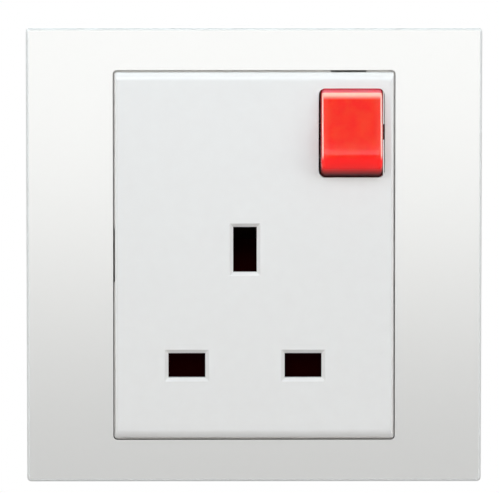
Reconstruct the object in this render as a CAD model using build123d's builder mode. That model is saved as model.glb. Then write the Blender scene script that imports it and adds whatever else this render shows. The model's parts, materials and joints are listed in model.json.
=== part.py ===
"""Switched wall socket: one three-pin outlet with a red rocker in a square white plate.

Millimetres. X runs to the right as seen from the front, Z is up and the front faces -Y.
The origin is the centre of the plate on the wall, so what shows in the room lies at
negative Y and the body that sinks into the wall box lies at positive Y.
The rocker is drawn switched off, with its lower end standing out.
"""

from build123d import *
from math import asin, cos, radians, sin, sqrt
import os

# Front frame, a thin square moulding that clips over the fixing screws
frame_side = 87.0
frame_band = 8.05
frame_depth = 9.0
frame_wall = 2.0
frame_face = 2.2
frame_corner = 0.8
frame_edge_round = 0.5
frame_wall_relief = 0.3
collar_wall = 1.5
collar_back_gap = 0.35
rib_thickness = 1.0
rib_depth = 2.6
rib_count = 5
hook_length = 8.0
hook_depth = 0.8
hook_pass_gap = 0.1
hook_room = 0.4
hook_end_room = 0.8
pry_slot_width = 6.7
pry_slot_lip = 0.6
pry_slot_x = 18.05

# Socket plate: a flat flange with the raised insert moulded on it
insert_width = 53.1
insert_proud = 1.3
insert_corner = 0.4
insert_end_round = 1.75
insert_side_round = 0.6
insert_side_wall = 1.5
insert_end_wall = 1.8
insert_face = 2.1
reveal_gap = 0.4
shoulder_depth = 1.0
shoulder_gap = 0.12
flange_thickness = 2.5
flange_corner = 1.5
flange_clearance = 0.5

# Fixing holes, on the plate's horizontal centre line
fixing_spacing = 60.3
fixing_hole = 4.0
fixing_head = 7.0
fixing_head_depth = 1.0
fixing_head_relief = 10.3

# Pins of the plug that the outlet takes, with the play of their apertures
pin_rise = 22.23
pin_spread = 22.23
blade_width = 6.35
blade_height = 4.0
blade_length = 17.7
earth_width = 4.0
earth_height = 7.95
earth_length = 22.7
aperture_play = 0.7
earth_side_play = 0.5
aperture_chamfer = 0.7
outlet_x = -1.75
blade_rise = 14.02

# Rocker and the opening it swings in
rocker_radius = 9.0
rocker_radial_gap = 0.25
rocker_pivot_depth = 3.65
rocker_opening_width = 12.6
rocker_side_margin = 1.65
rocker_top_margin = 3.05
rocker_side_play = 0.4
rocker_ridge_angle = 42.15
rocker_tilt = 14.0
rocker_dish = 0.35
rocker_wall = 1.4
rocker_rim = 1.0
rocker_face_round = 0.9
rocker_end_round = 1.0
trunnion_radius = 1.5
trunnion_length = 1.1
running_clearance = 0.05
trunnion_end_gap = 0.15
bearing_rib = 1.3
bearing_depth = 4.0
bearing_half_height = 3.2

# Plunger and its spring, in the rocker's middle
plunger_radius = 1.3
plunger_nose_radius = 0.9
plunger_taper = 0.8
plunger_nose_gap = 0.2
plunger_guide_wall = 0.95
plunger_guide_end = 3.0
plunger_tail = 0.4
plunger_spring_wire = 0.3
plunger_spring_turns = 6
spring_end_gap = 0.1

# Rocking contact that the plunger tips over
fulcrum_reach = 11.05
contact_fold = 15.0
contact_swing = 10.0
contact_long_arm = 7.5
contact_short_arm = 4.2
contact_side_gap = 0.1
rivet_arm = 6.2
rivet_radius = 1.2
rivet_shank_radius = 0.6
rivet_tail_radius = 0.95
rivet_head = 0.7
rivet_tail = 0.4
contact_closed_gap = 0.2

# Sheet metal of the busbars and clips
sheet = 0.8
sheet_bend = 1.2
strip_width = 5.0
clip_play = 0.05
clip_flare = 0.65
clip_flare_length = 2.0
clip_width = 6.5
earth_clip_height = 7.2
pin_tip_gap = 0.6
clip_mouth_gap = 1.1
fulcrum_cheek = 1.5
live_joggle_low = 9.0
live_joggle_rise = 5.0

# Terminals: a brass block with a bore for the wires and a screw from behind
terminal_width = 8.0
terminal_height = 9.0
terminal_front_wall = 1.3
terminal_screw_wall = 2.0
wire_bore = 4.6
wire_bore_floor = 1.0
wire_entry = 5.4
terminal_chamfer = 0.4
terminal_air_gap = 1.35
terminal_seat_gap = 0.1
terminal_screw_radius = 2.0
terminal_screw_tip_gap = 0.2
terminal_screw_travel = 4.4
terminal_screw_point = 0.95
screw_head_radius = 2.75
screw_head_height = 1.6
screw_slot = 0.8
screw_head_gap = 0.25

# Rear tub that holds the live parts
tub_depth = 22.0
tub_wall = 1.6
tub_side_clearance = 0.25
tub_end_clearance = 0.35
tub_corner = 1.6
tub_inner_corner = 0.8
tub_back_round = 0.8
terminal_top_gap = 0.3
terminal_tube_wall = 1.0
pocket_cheek = 1.2
pocket_gap = 0.2

# Shutter and the cover that it slides on
shutter_front_gap = 0.3
shutter_thickness = 1.6
shutter_travel = 5.5
shutter_overlap = 0.62
shutter_side = 1.6
shutter_stem = 9.0
shutter_corner = 0.3
wedge_width = 5.2
wedge_thickness = 2.1
shutter_slide_gap = 0.2
cover_thickness = 1.5
cover_seat_gap = 0.1
cover_top_margin = 1.0
cover_corner = 0.8
cover_window_frame = 1.2
cover_window_play = 0.5
guide_width = 1.1
guide_gap = 0.3
shutter_spring_radius = 0.75
shutter_spring_wire = 0.3
shutter_spring_turns = 9
shutter_spring_slot = 2.6
spring_post_height = 1.2

# Screws that hold the tub to the plate
housing_screw_radius = 1.1
housing_screw_length = 9.0
housing_head_radius = 2.4
housing_head_height = 1.6
housing_screw_clearance = 0.2
recess_length = 2.6
recess_width = 0.6
recess_depth = 0.8
boss_radius = 2.3
boss_corner_gap = 2.3
boss_end = 2.2
well_floor = 1.6
well_wall = 0.85
well_gap = 0.2
upper_boss_drop = 2.9

# Neon lamp that lights the rocker, with its resistor
lamp_radius = 2.0
lamp_length = 9.0
lamp_tip_round = 1.4
lamp_offset_x = -0.6
lamp_y = -1.5
lamp_seat_gap = 0.1
shelf_thickness = 1.2
shelf_clearance = 0.9
shelf_lug = 0.9
shelf_lug_height = 1.6
shelf_lug_inset = 1.5
resistor_radius = 1.2
resistor_length = 7.0
resistor_end_round = 0.4
resistor_gap = 2.0
lead_radius = 0.3
lead_spacing = 1.6
lead_bend = 1.0

# Levels from the wall forward, all worked out from the sizes above
frame_front_y = -frame_depth
insert_front_y = frame_front_y - insert_proud
insert_inner_y = insert_front_y + insert_face
shutter_front_y = insert_inner_y + shutter_front_gap
shutter_back_y = shutter_front_y + shutter_thickness
cover_front_y = shutter_back_y + shutter_slide_gap
cover_back_y = cover_front_y + cover_thickness
tub_front_y = cover_back_y + cover_seat_gap
tub_inner_y = tub_depth - tub_wall
blade_base_y = insert_front_y + blade_length + pin_tip_gap
earth_base_y = insert_front_y + earth_length + pin_tip_gap
clip_mouth_y = cover_back_y + clip_mouth_gap

# Widths and heights that follow from the plate
insert_height = frame_side - 2 * (frame_band + reveal_gap)
opening_width = insert_width + 2 * reveal_gap
opening_height = insert_height + 2 * reveal_gap
flange_side = frame_side - 2 * frame_wall - 2 * flange_clearance
hollow_x = insert_width / 2 - insert_side_wall
hollow_z = insert_height / 2 - insert_end_wall
tub_x = hollow_x - tub_side_clearance
tub_z = hollow_z - tub_end_clearance
tub_inner_x = tub_x - tub_wall
tub_inner_z = tub_z - tub_wall
blade_z = -insert_height / 2 + blade_rise
earth_z = blade_z + pin_rise
live_x = outlet_x + pin_spread / 2
neutral_x = outlet_x - pin_spread / 2

# The rocker's pivot, and the plane of its side profile turned to the off position
opening_radius = rocker_radius + rocker_radial_gap
rocker_opening_height = 2 * sqrt(opening_radius**2 - rocker_pivot_depth**2)
rocker_x = insert_width / 2 - rocker_side_margin - rocker_opening_width / 2
rocker_width = rocker_opening_width - 2 * rocker_side_play
pivot_y = insert_front_y + rocker_pivot_depth
pivot_z = insert_height / 2 - rocker_top_margin - rocker_opening_height / 2
off = radians(-rocker_tilt)
rocker_plane = Plane(
    origin=(rocker_x, pivot_y, pivot_z), x_dir=(0, cos(off), sin(off)), z_dir=(1, 0, 0)
)
rocker_axis = Axis(rocker_plane.origin, (1, 0, 0))

# The rocking contact's fulcrum, and the plane of its side profile at off
fulcrum_y = pivot_y + fulcrum_reach
swing = radians(contact_swing)
contact_plane = Plane(
    origin=(rocker_x, fulcrum_y, pivot_z), x_dir=(0, cos(swing), sin(swing)), z_dir=(1, 0, 0)
)
contact_width = strip_width - 2 * (sheet + contact_side_gap)
fulcrum_front_y = fulcrum_y + sheet / 2 + running_clearance
fold = radians(contact_fold)
nose_reach = fulcrum_reach - (plunger_nose_radius + sheet / 2 + plunger_nose_gap) / cos(fold)

# The plunger's line, square to the rocker's face
plunger_axis = Axis(rocker_plane.origin, rocker_plane.x_dir)
plunger_axis_plane = Plane(
    origin=rocker_plane.origin, x_dir=(1, 0, 0), z_dir=rocker_plane.x_dir
)

# Where the moving rivet sits on the contact's long arm, at off
arm_angle = fold + swing
rivet_plane = Plane(
    origin=(
        rocker_x,
        fulcrum_y - rivet_arm * sin(arm_angle),
        pivot_z + rivet_arm * cos(arm_angle),
    ),
    x_dir=(1, 0, 0),
    z_dir=(0, cos(arm_angle), sin(arm_angle)),
)
# Where it arrives when the rocker is on
on_angle = fold - swing
rivet_face = sheet / 2 + rivet_head
fixed_rivet_y = (
    fulcrum_y - rivet_arm * sin(on_angle) + rivet_face * cos(on_angle) + contact_closed_gap
)
fixed_rivet_z = pivot_z + rivet_arm * cos(on_angle) + rivet_face * sin(on_angle)

# Terminal blocks stand in a row at the top, behind the fulcrum strip
terminal_front_y = fulcrum_front_y + sheet + terminal_air_gap
wire_y = terminal_front_y + terminal_front_wall + wire_bore / 2
terminal_back_y = wire_y + wire_bore / 2 + terminal_screw_wall
terminal_top_z = tub_inner_z - terminal_top_gap
terminal_bottom_z = terminal_top_z - terminal_height
terminal_z = (terminal_top_z + terminal_bottom_z) / 2
terminal_tube_y = terminal_back_y + terminal_seat_gap
screw_tip_y = wire_y + wire_bore / 2 + terminal_screw_tip_gap
screw_shoulder_y = terminal_tube_y + terminal_screw_travel
terminal_places = {"live": rocker_x, "neutral": -rocker_x, "earth": outlet_x}
strip_turn_z = terminal_bottom_z - sheet / 2

# Screws that hold the tub; the upper two stand midway between the terminals
boss_z = tub_inner_z - boss_radius - running_clearance
boss_places = [
    (-tub_inner_x + boss_corner_gap + running_clearance, -boss_z),
    (tub_inner_x - boss_corner_gap - running_clearance, -boss_z),
    ((outlet_x - rocker_x) / 2, tub_inner_z - upper_boss_drop),
    ((outlet_x + rocker_x) / 2, tub_inner_z - upper_boss_drop),
]
well_front_y = boss_end + well_gap
well_seat_y = well_front_y + well_floor
well_radius = housing_head_radius + screw_head_gap

# Shelf for the lamp, just below the rocker
lamp_z = pivot_z - rocker_radius + shelf_clearance + lamp_radius
shelf_top_z = lamp_z - lamp_radius - lamp_seat_gap
lamp_x = rocker_x + lamp_offset_x
lamp_left_x = lamp_x - lamp_length / 2
resistor_right_x = lamp_left_x - resistor_gap
lead_top_z = lamp_z + lead_spacing / 2
lead_bottom_z = lamp_z - lead_spacing / 2

# Shutter outline
blade_cover = (blade_height + aperture_play) / 2 + shutter_overlap
shutter_half = pin_spread / 2 + (blade_width + aperture_play) / 2 + shutter_side
shutter_bottom_z = blade_z - blade_cover
window_bottom_z = blade_z + blade_cover
window_top_z = window_bottom_z + blade_height + 2 * aperture_play
bar_top_z = window_top_z + shutter_side
wedge_low_z = earth_z - earth_height / 2
wedge_top_z = wedge_low_z + shutter_travel
wedge_back_y = shutter_front_y + shutter_travel
cover_top_z = shelf_top_z - shelf_thickness - cover_top_margin
cover_window_top_z = earth_z + earth_height / 2 + cover_window_play
spring_foot_z = shutter_bottom_z - shutter_travel - shutter_overlap
spring_head_z = bar_top_z - shutter_side


def facing(y):
    """The plane at depth y that looks out into the room."""
    return Plane.XZ.offset(-y)


def block(x_span, y_span, z_span, mode=Mode.ADD):
    """A box between three pairs of coordinates."""
    with Locations((x_span[0], y_span[0], z_span[0])):
        Box(
            x_span[1] - x_span[0],
            y_span[1] - y_span[0],
            z_span[1] - z_span[0],
            align=(Align.MIN, Align.MIN, Align.MIN),
            mode=mode,
        )


def slab(width, height, corner, y_span, mode=Mode.ADD):
    """A rounded rectangle centred on the plate, between two depths."""
    with BuildSketch(facing(y_span[1])) as outline:
        RectangleRounded(width, height, corner)
    extrude(outline.sketch, amount=y_span[1] - y_span[0], mode=mode)


def rod(x, z, radius, y_span, mode=Mode.ADD):
    """A round bar or hole along Y, between two depths."""
    with BuildSketch(facing(y_span[1])) as outline:
        with Locations((x, z)):
            Circle(radius)
    extrude(outline.sketch, amount=y_span[1] - y_span[0], mode=mode)


def bent_strip(points, bend, width, plane):
    """Sheet metal whose edge follows the points in the plane, as wide as given."""
    with BuildSketch(plane) as edge_view:
        with BuildLine() as middle:
            FilletPolyline(*points, radius=bend)
        trace(middle.line, line_width=sheet)
    extrude(edge_view.sketch, amount=width / 2, both=True)


def coil(start, direction, length, radius, wire, turns):
    """A round wire spring from start, along direction, between its two end faces."""
    rise = length - wire
    first = Vector(start) + Vector(direction).normalized() * (wire / 2)
    with BuildLine() as path:
        Helix(pitch=rise / turns, height=rise, radius=radius, center=first, direction=direction)
    with BuildSketch(Plane(origin=path.line @ 0, z_dir=path.line % 0)) as section:
        Circle(wire / 2)
    sweep(section.sketch, path=path.line, is_frenet=True)


def rocker_barrel(width, radius, corner):
    """Half the long section of a barrel about the rocker's pivot, to revolve."""
    with BuildSketch(Plane.XY.move(Location(rocker_plane.origin))) as half_section:
        RectangleRounded(width, 2 * radius, corner)
        Rectangle(width, radius, align=(Align.CENTER, Align.MIN), mode=Mode.INTERSECT)
    return half_section.sketch


def pin_apertures(y):
    """The outlines of the three pin apertures at depth y."""
    with BuildSketch(facing(y)) as outlines:
        with Locations((live_x, blade_z), (neutral_x, blade_z)):
            Rectangle(blade_width + aperture_play, blade_height + aperture_play)
        with Locations((outlet_x, earth_z)):
            Rectangle(earth_width + earth_side_play, earth_height + aperture_play)
    return outlines.sketch


# Front frame
with BuildPart() as surround_frame:
    slab(frame_side, frame_side, frame_corner, (frame_front_y, -frame_wall_relief))
    front_rim = surround_frame.faces().sort_by(Axis.Y)[0].edges()
    fillet(front_rim, frame_edge_round)
    cavity_side = frame_side - 2 * frame_wall
    cavity_front_y = frame_front_y + frame_face
    slab(
        cavity_side, cavity_side, frame_corner, (cavity_front_y, 0), mode=Mode.SUBTRACT
    )
    collar_back_y = -flange_thickness - collar_back_gap
    slab(
        opening_width + 2 * collar_wall,
        opening_height + 2 * collar_wall,
        insert_corner + reveal_gap + collar_wall,
        (frame_front_y + frame_face / 2, collar_back_y),
    )
    # Ribs that stiffen the face between the collar and the rim
    rib_back_y = cavity_front_y + rib_depth
    rib_step = opening_height / rib_count
    for index in range(rib_count):
        rib_z = (index - (rib_count - 1) / 2) * rib_step
        if abs(rib_z) < fixing_head_relief / 2 + rib_thickness:
            continue
        block(
            (-cavity_side / 2, cavity_side / 2),
            (cavity_front_y, rib_back_y),
            (rib_z - rib_thickness / 2, rib_z + rib_thickness / 2),
        )
        block(
            (rib_z - rib_thickness / 2, rib_z + rib_thickness / 2),
            (cavity_front_y, rib_back_y),
            (-cavity_side / 2, cavity_side / 2),
        )
    # The opening for the insert
    slab(
        opening_width,
        opening_height,
        insert_corner + reveal_gap,
        (frame_front_y - insert_proud, 0),
        mode=Mode.SUBTRACT,
    )
    # Reliefs in the collar for the two fixing screw heads
    block(
        (-cavity_side / 2, cavity_side / 2),
        (cavity_front_y, collar_back_y),
        (-fixing_head_relief / 2, fixing_head_relief / 2),
        mode=Mode.SUBTRACT,
    )
    # Slot above the insert for a screwdriver that prises the frame off
    block(
        (pry_slot_x - pry_slot_width / 2, pry_slot_x + pry_slot_width / 2),
        (frame_front_y + pry_slot_lip, collar_back_y),
        (opening_height / 2 - reveal_gap, opening_height / 2 + collar_wall),
        mode=Mode.SUBTRACT,
    )
    # Hooks inside the rim that snap behind the flange, midway along each half of a side
    hook_height = flange_clearance - hook_pass_gap
    hook_back_y = -frame_wall_relief - hook_room
    hook_places = (-frame_side / 4, frame_side / 4)
    for side in (-1, 1):
        hook_edges = sorted((side * cavity_side / 2, side * (cavity_side / 2 - hook_height)))
        for hook_z in hook_places:
            block(
                hook_edges,
                (hook_back_y - hook_depth, hook_back_y),
                (hook_z - hook_length / 2, hook_z + hook_length / 2),
            )
surround_frame.part.label = "surround_frame"

# Socket plate: flange, raised insert, apertures, rocker bearings and screw bosses
with BuildPart() as socket_plate:
    with BuildSketch(facing(0)):
        RectangleRounded(insert_width, insert_height, insert_corner)
    extrude(amount=-insert_front_y)
    # The side view rounds the insert's top and bottom edges broadly
    with BuildSketch(Plane.YZ) as side_view:
        with Locations((insert_front_y / 2, 0)):
            Rectangle(-insert_front_y, insert_height)
        fillet(
            side_view.vertices().group_by(Axis.X)[0], insert_end_round
        )
    extrude(amount=insert_width / 2, both=True, mode=Mode.INTERSECT)
    # The plan view rounds its two sides more tightly
    with BuildSketch(Plane.XY) as plan_view:
        with Locations((0, insert_front_y / 2)):
            Rectangle(insert_width, -insert_front_y)
        fillet(plan_view.vertices().group_by(Axis.Y)[0], insert_side_round)
    extrude(amount=insert_height / 2, both=True, mode=Mode.INTERSECT)
    # A shoulder just under the frame's face nearly closes the gap round the insert
    shoulder_front_y = frame_front_y + shoulder_depth
    shoulder_reach = reveal_gap - shoulder_gap
    slab(
        insert_width + 2 * shoulder_reach,
        insert_height + 2 * shoulder_reach,
        insert_corner + shoulder_reach,
        (shoulder_front_y, 0),
    )
    insert_left = -insert_width / 2
    block(
        (insert_left - shoulder_reach, insert_left),
        (shoulder_front_y, -flange_thickness),
        (-fixing_head_relief / 2, fixing_head_relief / 2),
        mode=Mode.SUBTRACT,
    )
    block(
        (pry_slot_x - pry_slot_width / 2, pry_slot_x + pry_slot_width / 2),
        (shoulder_front_y, -flange_thickness),
        (insert_height / 2, insert_height / 2 + shoulder_reach),
        mode=Mode.SUBTRACT,
    )
    slab(flange_side, flange_side, flange_corner, (-flange_thickness, 0))
    # Rebates in the flange's edge, behind which the frame's hooks sit
    rebate_length = hook_length + 2 * hook_end_room
    for side in (-1, 1):
        rebate_edges = sorted(
            (side * flange_side / 2, side * (flange_side / 2 - flange_clearance))
        )
        for hook_z in hook_places:
            block(
                rebate_edges,
                (hook_back_y - hook_depth - hook_room, 0),
                (hook_z - rebate_length / 2, hook_z + rebate_length / 2),
                mode=Mode.SUBTRACT,
            )
    # The hollow behind the insert takes the tub
    slab(2 * hollow_x, 2 * hollow_z, insert_corner, (insert_inner_y, 0), mode=Mode.SUBTRACT)
    # Fixing holes with a flat recess for the screw heads
    with Locations(facing(-flange_thickness)):
        with Locations((-fixing_spacing / 2, 0), (fixing_spacing / 2, 0)):
            CounterBoreHole(fixing_hole / 2, fixing_head / 2, fixing_head_depth, flange_thickness)
    # Pin apertures with a lead-in all round
    straight_walls = pin_apertures(insert_inner_y)
    extrude(straight_walls, amount=insert_face, mode=Mode.SUBTRACT)
    lead_in = pin_apertures(insert_front_y + aperture_chamfer)
    extrude(lead_in, amount=aperture_chamfer, taper=-45, mode=Mode.SUBTRACT)
    # Rocker opening: the barrel that the rocker sweeps, with its gaps all round
    opening_corner = rocker_end_round + rocker_radial_gap
    opening_barrel = rocker_barrel(rocker_opening_width, opening_radius, opening_corner)
    revolve(opening_barrel, axis=rocker_axis, mode=Mode.SUBTRACT)
    # Bearings open to the rear, so that the rocker drops in from behind
    opening_left = rocker_x - rocker_opening_width / 2
    block(
        (opening_left - bearing_rib, opening_left),
        (insert_inner_y, insert_inner_y + bearing_depth),
        (pivot_z - bearing_half_height, pivot_z + bearing_half_height),
    )
    trunnion_reach = rocker_width / 2 + trunnion_length + trunnion_end_gap
    with BuildSketch(Plane.YZ.offset(rocker_x)):
        with Locations((pivot_y, pivot_z)):
            Circle(trunnion_radius + running_clearance)
        with Locations((pivot_y + bearing_depth / 2, pivot_z)):
            Rectangle(bearing_depth, 2 * (trunnion_radius + running_clearance))
    extrude(amount=trunnion_reach, both=True, mode=Mode.SUBTRACT)
    # Bosses for the screws that hold the tub
    for boss_x, boss_height in boss_places:
        rod(boss_x, boss_height, boss_radius, (insert_inner_y, boss_end))
        rod(
            boss_x,
            boss_height,
            housing_screw_radius + running_clearance,
            (boss_end - housing_screw_length, boss_end),
            mode=Mode.SUBTRACT,
        )
socket_plate.part.label = "socket_plate"

# Rocker, a dished red shell on two short trunnions
with BuildPart() as rocker:
    ridge = radians(rocker_ridge_angle)
    ridge_u = -rocker_radius * cos(ridge)
    ridge_v = rocker_radius * sin(ridge)
    rim_u = -rocker_rim
    rim_v = sqrt(rocker_radius**2 - rocker_rim**2)
    mid_angle = (ridge + radians(90) - asin(rocker_rim / rocker_radius)) / 2
    mid_u = -rocker_radius * cos(mid_angle)
    mid_v = rocker_radius * sin(mid_angle)
    with BuildSketch(rocker_plane) as rocker_side:
        with BuildLine():
            ThreePointArc((ridge_u, ridge_v), (ridge_u + rocker_dish, 0), (ridge_u, -ridge_v))
            ThreePointArc((ridge_u, -ridge_v), (mid_u, -mid_v), (rim_u, -rim_v))
            Line((rim_u, -rim_v), (rim_u, rim_v))
            ThreePointArc((rim_u, rim_v), (mid_u, mid_v), (ridge_u, ridge_v))
        make_face()
    extrude(amount=rocker_width / 2, both=True)
    # A barrel about the pivot rounds the corners of the two ends
    end_barrel = rocker_barrel(rocker_width, rocker_radius, rocker_end_round)
    revolve(end_barrel, axis=rocker_axis, mode=Mode.INTERSECT)
    dished_face = rocker.faces().sort_by(plunger_axis)[0]
    fillet(dished_face.edges(), rocker_face_round)
    # Hollow from behind, with the guide tube for the plunger standing in it
    inner_radius = rocker_radius - rocker_wall
    floor_u = ridge_u + rocker_dish + rocker_wall
    with BuildSketch(rocker_plane):
        Circle(inner_radius)
        with Locations(((floor_u + inner_radius) / 2, 0)):
            Rectangle(inner_radius - floor_u, 2 * inner_radius, mode=Mode.INTERSECT)
    extrude(amount=rocker_width / 2 - rocker_wall, both=True, mode=Mode.SUBTRACT)
    guide_radius = plunger_radius + running_clearance + plunger_guide_wall
    with BuildSketch(plunger_axis_plane.offset(floor_u - rocker_wall / 2)):
        Circle(guide_radius)
    extrude(amount=plunger_guide_end - floor_u + rocker_wall / 2)
    with BuildSketch(plunger_axis_plane.offset(floor_u)):
        Circle(plunger_radius + running_clearance)
    extrude(amount=plunger_guide_end - floor_u, mode=Mode.SUBTRACT)
    # Trunnions, one on each flank
    with BuildSketch(rocker_plane):
        Circle(trunnion_radius)
    extrude(amount=rocker_width / 2 + trunnion_length, both=True)
    with BuildSketch(rocker_plane):
        Circle(trunnion_radius)
    extrude(amount=rocker_width / 2 - rocker_wall, both=True, mode=Mode.SUBTRACT)
    with BuildSketch(plunger_axis_plane.offset(-trunnion_radius)):
        Circle(guide_radius)
        Circle(plunger_radius + running_clearance, mode=Mode.SUBTRACT)
    extrude(amount=2 * trunnion_radius)
rocker.part.label = "rocker"

# Plunger, round with a blunt nose that rides in the rocking contact's fold
with BuildPart() as rocker_plunger:
    with BuildSketch(rocker_plane) as half_section:
        with BuildLine():
            nose_tip_u = nose_reach + plunger_nose_radius
            cone_start_u = nose_reach - plunger_taper
            Polyline(
                (nose_tip_u, 0),
                (plunger_tail, 0),
                (plunger_tail, plunger_radius),
                (cone_start_u, plunger_radius),
                (nose_reach, plunger_nose_radius),
            )
            RadiusArc((nose_reach, plunger_nose_radius), (nose_tip_u, 0), plunger_nose_radius)
        make_face()
    revolve(axis=plunger_axis)
rocker_plunger.part.label = "rocker_plunger"

# Plunger spring, between the rocker's floor and the plunger's tail
with BuildPart() as plunger_spring:
    spring_start = plunger_axis_plane.from_local_coords((0, 0, floor_u + spring_end_gap))
    coil(
        spring_start,
        rocker_plane.x_dir,
        plunger_tail - floor_u - 2 * spring_end_gap,
        plunger_radius - plunger_spring_wire / 2 - 2 * running_clearance,
        plunger_spring_wire,
        plunger_spring_turns,
    )
plunger_spring.part.label = "plunger_spring"

# Rocking contact, a folded strip that tips on the fulcrum
with BuildPart() as rocking_contact:
    bent_strip(
        [
            (-contact_short_arm * sin(fold), -contact_short_arm * cos(fold)),
            (0, 0),
            (-contact_long_arm * sin(fold), contact_long_arm * cos(fold)),
        ],
        0,
        contact_width,
        contact_plane,
    )
    with BuildSketch(rivet_plane):
        Circle(rivet_shank_radius)
    extrude(amount=sheet, both=True, mode=Mode.SUBTRACT)
rocking_contact.part.label = "rocking_contact"

# Silver rivet through the long arm
with BuildPart() as moving_contact_rivet:
    with BuildSketch(rivet_plane):
        Circle(rivet_shank_radius)
    extrude(amount=sheet / 2, both=True)
    with BuildSketch(rivet_plane.offset(sheet / 2)):
        Circle(rivet_radius)
    extrude(amount=rivet_head)
    with BuildSketch(rivet_plane.offset(-sheet / 2)):
        Circle(rivet_tail_radius)
    extrude(amount=-rivet_tail)
moving_contact_rivet.part.label = "moving_contact_rivet"

# Fixed rivet on the live terminal, met when the contact swings over
with BuildPart() as fixed_contact_rivet:
    rod(rocker_x, fixed_rivet_z, rivet_radius, (fixed_rivet_y, terminal_front_y))
fixed_contact_rivet.part.label = "fixed_contact_rivet"


def blade_clip(x):
    """A channel of sheet that grips a flat pin above and below, open to the front."""
    leaf = blade_height / 2 + clip_play + sheet / 2
    mouth = clip_mouth_y
    throat = mouth + clip_flare_length
    base = blade_base_y + sheet / 2
    bent_strip(
        [
            (mouth, blade_z - leaf - clip_flare),
            (throat, blade_z - leaf),
            (base, blade_z - leaf),
            (base, blade_z + leaf),
            (throat, blade_z + leaf),
            (mouth, blade_z + leaf + clip_flare),
        ],
        sheet,
        clip_width,
        Plane.YZ.offset(x),
    )


# Live busbar: clip, crossbar and the strip whose top is the fulcrum
with BuildPart() as live_busbar:
    blade_clip(live_x)
    block(
        (live_x, rocker_x + strip_width / 2),
        (blade_base_y, blade_base_y + sheet),
        (blade_z - blade_height / 2, blade_z + blade_height / 2),
    )
    joggle_z = blade_z + live_joggle_low
    bent_strip(
        [
            (blade_base_y + sheet / 2, blade_z - blade_height / 2),
            (blade_base_y + sheet / 2, joggle_z),
            (fulcrum_front_y + sheet / 2, joggle_z + live_joggle_rise),
            (fulcrum_front_y + sheet / 2, pivot_z + fulcrum_cheek),
        ],
        sheet_bend,
        strip_width,
        Plane.YZ.offset(rocker_x),
    )
    for side in (-1, 1):
        cheek_edges = sorted(
            (rocker_x + side * strip_width / 2, rocker_x + side * (strip_width / 2 - sheet))
        )
        block(
            cheek_edges,
            (fulcrum_front_y - fulcrum_cheek, fulcrum_front_y),
            (pivot_z - fulcrum_cheek, pivot_z + fulcrum_cheek),
        )
live_busbar.part.label = "live_busbar"

# Neutral busbar: clip, crossbar and a strip up to the terminal's underside
with BuildPart() as neutral_busbar:
    blade_clip(neutral_x)
    block(
        (-rocker_x - strip_width / 2, neutral_x),
        (blade_base_y, blade_base_y + sheet),
        (blade_z - blade_height / 2, blade_z + blade_height / 2),
    )
    bent_strip(
        [
            (blade_base_y + sheet / 2, blade_z - blade_height / 2),
            (blade_base_y + sheet / 2, strip_turn_z),
            (terminal_back_y, strip_turn_z),
        ],
        sheet_bend,
        strip_width,
        Plane.YZ.offset(-rocker_x),
    )
neutral_busbar.part.label = "neutral_busbar"

# Earth busbar: a clip that grips the tall pin at its sides, and its strip
with BuildPart() as earth_busbar:
    earth_leaf = earth_width / 2 + clip_play + sheet / 2
    earth_mouth = wedge_back_y + pin_tip_gap
    bent_strip(
        [
            (outlet_x - earth_leaf - clip_flare, earth_mouth),
            (outlet_x - earth_leaf, earth_mouth + clip_flare_length),
            (outlet_x - earth_leaf, earth_base_y + sheet / 2),
            (outlet_x + earth_leaf, earth_base_y + sheet / 2),
            (outlet_x + earth_leaf, earth_mouth + clip_flare_length),
            (outlet_x + earth_leaf + clip_flare, earth_mouth),
        ],
        sheet,
        earth_clip_height,
        Plane.XY.offset(earth_z),
    )
    bent_strip(
        [
            (earth_base_y + sheet / 2, earth_z),
            (earth_base_y + sheet / 2, strip_turn_z),
            (terminal_front_y + sheet / 2, strip_turn_z),
        ],
        sheet_bend,
        strip_width,
        Plane.YZ.offset(outlet_x),
    )
earth_busbar.part.label = "earth_busbar"

# The three terminals and their screws, backed out clear of the wires
terminals = []
for name, x in terminal_places.items():
    with BuildPart() as terminal:
        block(
            (x - terminal_width / 2, x + terminal_width / 2),
            (terminal_front_y, terminal_back_y),
            (terminal_bottom_z, terminal_top_z),
        )
        chamfer(terminal.edges().filter_by(Axis.Z), terminal_chamfer)
        with Locations((x, wire_y, terminal_top_z)):
            Hole(wire_bore / 2, terminal_height - wire_bore_floor)
        rod(
            x,
            terminal_z,
            terminal_screw_radius + running_clearance,
            (wire_y, terminal_back_y),
            mode=Mode.SUBTRACT,
        )
    terminal.part.label = f"{name}_terminal"
    with BuildPart() as terminal_screw:
        rod(x, terminal_z, terminal_screw_radius, (screw_tip_y, screw_shoulder_y))
        chamfer(terminal_screw.edges().sort_by(Axis.Y)[0], terminal_screw_point)
        screw_top_y = screw_shoulder_y + screw_head_height
        rod(x, terminal_z, screw_head_radius, (screw_shoulder_y, screw_top_y))
        block(
            (x - screw_head_radius, x + screw_head_radius),
            (screw_top_y - screw_slot, screw_top_y),
            (terminal_z - screw_slot / 2, terminal_z + screw_slot / 2),
            mode=Mode.SUBTRACT,
        )
    terminal_screw.part.label = f"{name}_terminal_screw"
    terminals += [terminal, terminal_screw]

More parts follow.
